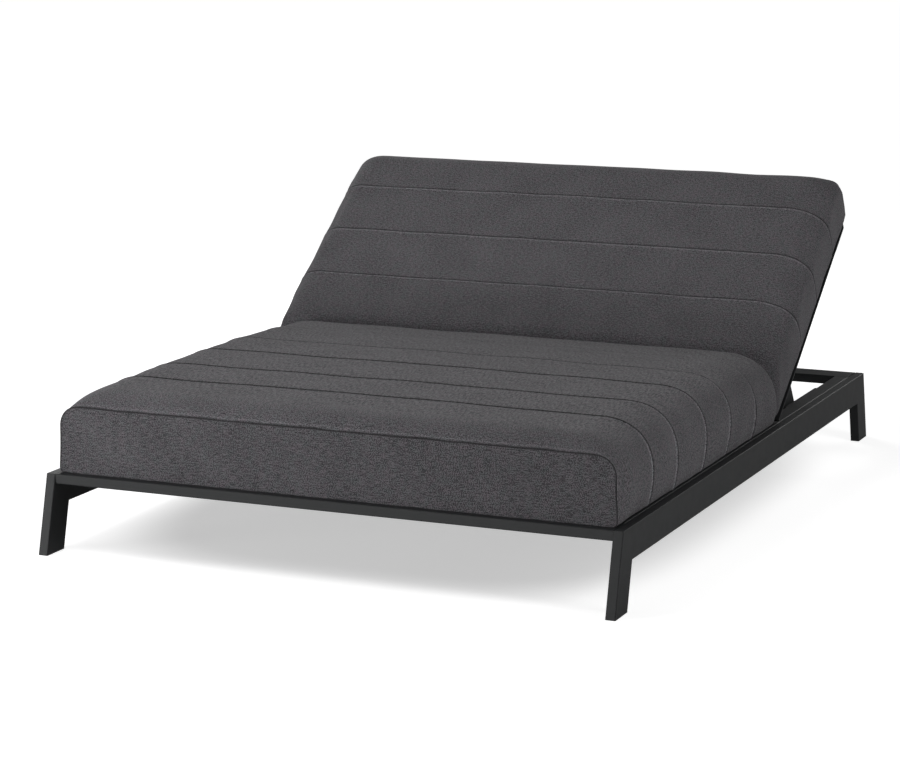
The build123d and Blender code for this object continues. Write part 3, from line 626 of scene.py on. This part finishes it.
def place_on_back(grid):
    """Back cushion's own (x, v, h) to the object's (x, y, z), with the back at its stored angle."""
    x, v, h = np.moveaxis(grid, -1, 0)
    cos, sin = math.cos(BACK_ANGLE), math.sin(BACK_ANGLE)
    w = BACK_PLANE + h
    # the meeting line as the back sees it, u up along the back and w off it
    (low_y, low_z), (high_y, high_z) = MEET_LOW, MEET_HIGH
    start_u = (low_y - HINGE_Y) * cos + (low_z - HINGE_Z) * sin
    start_w = -(low_y - HINGE_Y) * sin + (low_z - HINGE_Z) * cos
    run, rise = high_y - low_y, high_z - low_z
    slope = (run * cos + rise * sin) / (-run * sin + rise * cos)
    slant = start_u + (w - start_w) * slope
    u = v + (slant + MEET_GAP) * fade(v)
    return np.stack((x, HINGE_Y + u * cos - w * sin, HINGE_Z + u * sin + w * cos), axis=-1)


# ---------------------------------------------------------------- cushion meshes


def welded(grid):
    """Index of the first point that shares each grid point's place, and the kept points."""
    flat = np.round(grid.reshape(-1, 3), 7)
    _, first, inverse = np.unique(flat, axis=0, return_index=True, return_inverse=True)
    order = np.argsort(first)
    rank = np.empty_like(order)
    rank[order] = np.arange(len(order))
    return rank[inverse.ravel()].reshape(grid.shape[:2]), grid.reshape(-1, 3)[first[order]]


def grid_faces(index):
    """Faces of a grid that is closed round its second axis, with doubled corners dropped."""
    faces = []
    rows, columns = index.shape
    for i in range(rows - 1):
        for j in range(columns):
            k = (j + 1) % columns
            corners = [index[i, j], index[i, k], index[i + 1, k], index[i + 1, j]]
            face = [int(c) for n, c in enumerate(corners) if c != corners[n - 1]]
            if len(set(face)) >= 3:
                faces.append(face)
    return faces


def make_mesh(name, points, faces):
    mesh = bpy.data.meshes.new(name)
    mesh.from_pydata([tuple(map(float, p)) for p in points], [], faces)
    mesh.update()
    thing = bpy.data.objects.new(name, mesh)
    bpy.context.scene.collection.objects.link(thing)
    return thing


def outward(points):
    """Unit normals of a grid closed round its second axis."""
    across = np.roll(points, -1, axis=1) - np.roll(points, 1, axis=1)
    along = np.gradient(points, axis=0)
    normal = np.cross(along, across)
    size = np.linalg.norm(normal, axis=-1, keepdims=True)
    normal = normal / np.maximum(size, 1e-12)
    normal[0] = normal[1]
    normal[-1] = normal[-2]
    return normal


def simulate(name, form, place):
    """Cover swollen by its stuffing between the seams: stations, ring coordinates, moves."""
    stations = station_samples(form, GRID_COARSE, panel_rows=6, roll_rows=6)
    q = ring_samples(form, GRID_COARSE)
    index, kept = welded(place(surface(form, stations, q)))
    thing = make_mesh(name + "_simulated", kept, grid_faces(index))
    held = np.zeros(len(kept), bool)
    seams = np.array((*form["seams"], form["length"]))
    for row, v in enumerate(stations):
        if v <= MEET_HELD or np.abs(seams - v).min() < SAME_PLACE:
            held[index[row]] = True
    held[index[:, one_side(q) <= 1]] = True
    group = thing.vertex_groups.new(name="sewn")
    group.add(np.nonzero(held)[0].tolist(), 1.0, "REPLACE")
    cloth = thing.modifiers.new("cloth", "CLOTH")
    cloth.settings.vertex_group_mass = group.name
    for key, value in CLOTH_SETTINGS.items():
        setattr(cloth.settings, key, value)
    cloth.settings.effector_weights.gravity = 0
    cloth.collision_settings.use_self_collision = False
    cloth.collision_settings.use_collision = False
    cloth.point_cache.frame_start = 1
    cloth.point_cache.frame_end = CLOTH_FRAMES
    scene = bpy.context.scene
    for number in range(1, CLOTH_FRAMES + 1):
        scene.frame_set(number)
    evaluated = thing.evaluated_get(bpy.context.evaluated_depsgraph_get())
    moved = np.empty(len(kept) * 3)
    evaluated.data.vertices.foreach_get("co", moved)
    moved = moved.reshape(-1, 3) - kept
    scene.frame_set(1)
    bpy.data.objects.remove(thing)
    size = np.linalg.norm(moved, axis=1, keepdims=True)
    most = form["swell"]
    moved = moved * (most * np.tanh(size / most) / np.maximum(size, 1e-9))
    return stations, q, moved[index]


def resampled(stations, q, values, new_stations, new_q):
    """Smooth interpolation of a grid of vectors, first along the stations, then round the ring."""
    rows = cubic(stations, values, new_stations)
    round_q = np.concatenate((q, [10.0]))
    columns = np.concatenate((rows, rows[:, :1]), axis=1)
    return np.moveaxis(cubic(round_q, np.moveaxis(columns, 1, 0), new_q), 0, 1)


def ripple(along, waves, seed):
    """A few sines of unlike length added up, from -1 to 1."""
    draw = np.random.default_rng(seed)
    total = np.zeros_like(along)
    for wave in waves:
        stretch = draw.uniform(0.9, 1.1)
        total = total + np.sin(2 * math.pi * along / wave * stretch + draw.uniform(*PHASES))
    return total / len(waves)


def unevenness(girth, along, seed):
    """Slow hills and hollows over the whole cover, from about -1 to 1."""
    draw = np.random.default_rng(seed)
    total = np.zeros(np.broadcast(girth, along).shape)
    for wave in SAG_WAVES:
        turn = draw.uniform(0, math.pi)
        place = girth * math.cos(turn) + along * math.sin(turn)
        total = total + np.sin(2 * math.pi * place / wave + draw.uniform(*PHASES))
    return total / 3


def hump(distance, width):
    """1 at a distance of 0, fading away on both sides."""
    return np.exp(-((distance / width) ** 2))


def measured(points):
    """Distance round every ring and along every column of a grid, from its middle ones."""
    round_steps = np.diff(points, axis=1, append=points[:, :1])
    along_steps = np.diff(points, axis=0, prepend=points[:1])
    girth = np.linalg.norm(round_steps, axis=-1).cumsum(axis=1)
    run = np.linalg.norm(along_steps, axis=-1).cumsum(axis=0)
    rows, columns = girth.shape
    return girth - girth[:, [columns // 2]], run - run[[rows // 2]]


def sewing(form, stations, q, girth, seed):
    """Height of the sewn relief on the cover, and its painted shade and highlight for the fabric.
    """
    length = form["length"]
    on_body = np.clip(stations, 0, length)
    panel = np.where(stations > length, (stations - length) * PANEL_REACH, 0.0)
    past_meeting = FAR_AWAY * (stations < 0)
    on_top = on_top_side(q)
    sag = unevenness(girth, on_body[:, None], seed + 50)
    relief = SAG_HEIGHT * sag * (one_side(q) > 1.01)  # the bottom stays flat
    meeting_shade, reach = form["meeting_painted_shade"]
    # painted shade towards the meeting end, where the two cushions shade each other
    painted_marks = meeting_shade * hump(on_body[:, None], reach) + 0 * girth
    for number, seam in enumerate((*form["seams"], length)):
        drift = SEAM_DRIFT * ripple(girth, DRIFT_WAVES, seed + 20 + number)
        if seam == length:
            beyond = panel
            scale, pull, lip_side, shade = END_SEAM_SCALE, 1.0, -1, 0.0
            low, high = LIP_SHARE_END
            lip_share = low + (high - low) * on_top
        else:
            beyond = FAR_AWAY * (panel > 0)
            low, high = form["seam_scale"]
            scale = low + (high - low) * on_top
            pull = 1 - (1 - form["on_top"][number]) * on_top**0.5
            lip_side = form["lip_side"]
            lip_share = 1.0
            # strength of the band of painted shade along the seam on the top
            shade = form["top_painted_shade"] * on_top**2
        side = (on_body - seam + beyond + past_meeting)[:, None] - drift
        groove = hump(side / scale, SEAM_WIDTH)
        lip = lip_share * hump(lip_side * side / scale - LIP_PLACE, LIP_WIDTH)
        gather = 1 + GATHER_SHARE * ripple(girth, GATHER_WAVES, seed + number)
        relief += pull * (LIP_HEIGHT * lip - SEAM_DEPTH * groove)
        relief -= pull * DIP_DEPTH * hump(side, DIP_WIDTH) * gather
        # painted shade in the groove, and on the top in a band along the seam
        painted_marks += pull * (GROOVE_PAINTED_SHADE * groove + shade * hump(side, TOP_PAINTED_SHADE_WIDTH))
        # painted highlight on the folded edge
        painted_marks -= pull * form["lip_painted_highlight"] * lip * (1 - shade)
    return relief, painted_marks


def cloth_places(form, stations, q, own, girth, run):
    """What the fabric material reads as the cloth attribute, for every point of the grid."""
    length = form["length"]
    on_top = on_top_side(q)
    roll = (length - np.clip(stations, 0, length)) / form["end_roll"]
    before_roll = np.clip(roll - ROLL_FLECKS, 0, 1)[:, None]
    at_side, at_top = form["flecks"]
    flecks = at_side * (1 - on_top) + at_top * on_top * before_roll
    cloth = np.stack((girth, run, flecks + 0 * girth), axis=-1)
    # the end panel is cut the other way: its long flecks run across the cushion
    past = stations > length
    cloth[past, :, 0] = own[past, :, 2]
    cloth[past, :, 1] = own[past, :, 0]
    cloth[past, :, 2] = 1
    return cloth


def at_points(index, values):
    """One row of values for each welded point, from a grid of them."""
    rows = np.zeros((index.max() + 1, values[0, 0].size))
    rows[index.ravel()] = values.reshape(index.size, -1)
    return rows


def cushion(name, form, place, node, seed, fabric):
    """One channelled cushion: swollen cover with its sewn seams, as a finished piece."""
    stations = station_samples(form, GRID_FINE, panel_rows=14, roll_rows=12, seam_steps=SEAM_STEPS)
    q = ring_samples(form, GRID_FINE)
    own = surface(form, stations, q)
    points = place(own)
    normal = outward(points)
    swell = resampled(*simulate(name, form, place), stations, q)
    girth, run = measured(points)
    relief, painted_marks = sewing(form, stations, q, girth, seed)
    cloth = cloth_places(form, stations, q, own, girth, run)
    index, _ = welded(points)
    final = at_points(index, points + swell + relief[..., None] * normal)
    thing = make_mesh(name, final, grid_faces(index))
    write_attribute(thing, "cloth", "FLOAT_VECTOR", at_points(index, cloth))
    # the seam attribute holds the painted shade and painted highlight
    write_attribute(thing, "seam", "FLOAT", at_points(index, painted_marks))
    thing.data.shade_smooth()
    thing.data.materials.append(fabric)
    fix_normals(thing)
    smooth = thing.modifiers.new("smooth", "SUBSURF")
    smooth.levels = smooth.render_levels = 1
    apply_modifiers(thing)
    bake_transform(thing)
    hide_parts(node)


def write_attribute(thing, name, kind, rows):
    attribute = thing.data.attributes.new(name, kind, "POINT")
    field = "vector" if kind == "FLOAT_VECTOR" else "value"
    attribute.data.foreach_set(field, rows.astype(np.float32).ravel())


def fix_normals(thing):
    """Turns the faces outwards if the grid was wound the other way."""
    faces = thing.data.polygons
    middle = sum((v.co for v in thing.data.vertices), Vector()) / len(thing.data.vertices)
    if sum((face.center - middle).dot(face.normal) for face in faces) < 0:
        thing.data.flip_normals()


def apply_modifiers(thing):
    evaluated = thing.evaluated_get(bpy.context.evaluated_depsgraph_get())
    mesh = bpy.data.meshes.new_from_object(evaluated)
    thing.modifiers.clear()
    thing.data = mesh


# ---------------------------------------------------------------- frame finish


def finish_frame(fabric):
    """Gives every CAD node its material, by the slot that the record names for it."""
    materials = {
        "coated_aluminium": coat_material("coated_aluminium_dark", COAT_COLOUR),
        "coated_steel": coat_material("coated_steel_dark", COAT_COLOUR),
        "stainless": steel_material("turned_steel"),
        "black_plastic": plastic_material("moulded_black", (0.022, 0.022, 0.023), 0.55),
        "bumper_rubber": plastic_material("bumper_rubber_black", (0.016, 0.016, 0.016), 0.8),
        "cushion_fabric": fabric,
    }
    for part in frame["record"]["subparts"]:
        for slot in frame["nodes"][part["node"]].material_slots:
            slot.material = materials[part["material_slot"]]


# ---------------------------------------------------------------- studio


def area_light(name, place, size, power):
    lamp = bpy.data.lights.new(name, "AREA")
    lamp.shape = "RECTANGLE"
    lamp.size, lamp.size_y = size
    lamp.energy = power
    thing = bpy.data.objects.new(name, lamp)
    thing.location = place
    thing.rotation_mode = "QUATERNION"
    thing.rotation_quaternion = (Vector(LIGHT_AIM) - Vector(place)).to_track_quat("-Z", "Y")
    thing.visible_camera = False
    bpy.context.scene.collection.objects.link(thing)


def studio():
    half = FLOOR_HALF
    corners = [(-half, -half, 0), (half, -half, 0), (half, half, 0), (-half, half, 0)]
    floor = make_mesh("studio_floor", corners, [(0, 1, 2, 3)])
    floor.location.z = -FLOOR_DROP
    floor.data.materials.append(floor_material())
    for light in LIGHTS:
        area_light(*light)
    world = bpy.data.worlds.new("studio_world")
    world.use_nodes = True
    n = Nodes(tree=world.node_tree)
    back = n.tree.nodes["Background"]
    back.inputs["Color"].default_value = WHITE
    n.link(n.mapped(seen_directly(n), 0.0, 1.0, WORLD_LEVEL, 1.0), back.inputs["Strength"])
    bpy.context.scene.world = world
    bpy.context.scene.view_settings.view_transform = "Standard"


def camera():
    data = bpy.data.cameras.new("camera")
    data.sensor_width = SENSOR
    data.lens = FOCAL_PIXELS / IMAGE_WIDTH * SENSOR
    data.clip_end = CAMERA_FAR
    thing = bpy.data.objects.new("camera", data)
    right = CAMERA_LOOK.cross(Vector((0, 0, 1))).normalized()
    up = right.cross(CAMERA_LOOK)
    turn = Matrix((right, up, -CAMERA_LOOK)).transposed()
    thing.matrix_world = Matrix.Translation(CAMERA_PLACE) @ turn.to_4x4()
    bpy.context.scene.collection.objects.link(thing)
    bpy.context.scene.camera = thing


# The back's copy of the same weave is painted lighter (level 1.20 against 1.08), standing in for
# more light on the back.
SEAT_FABRIC = fabric_material("charcoal_weave_seat", low=0.45, high=0.55, level=1.08)
BACK_FABRIC = fabric_material("charcoal_weave_back_painted_lighter", low=0.41, high=0.59, level=1.20)
finish_frame(BACK_FABRIC)
cushion("seat_cushion_cover", SEAT, place_on_seat, "seat_cushion", 11, SEAT_FABRIC)
cushion("back_cushion_cover", BACK, place_on_back, "back_cushion", 47, BACK_FABRIC)
studio()
camera()
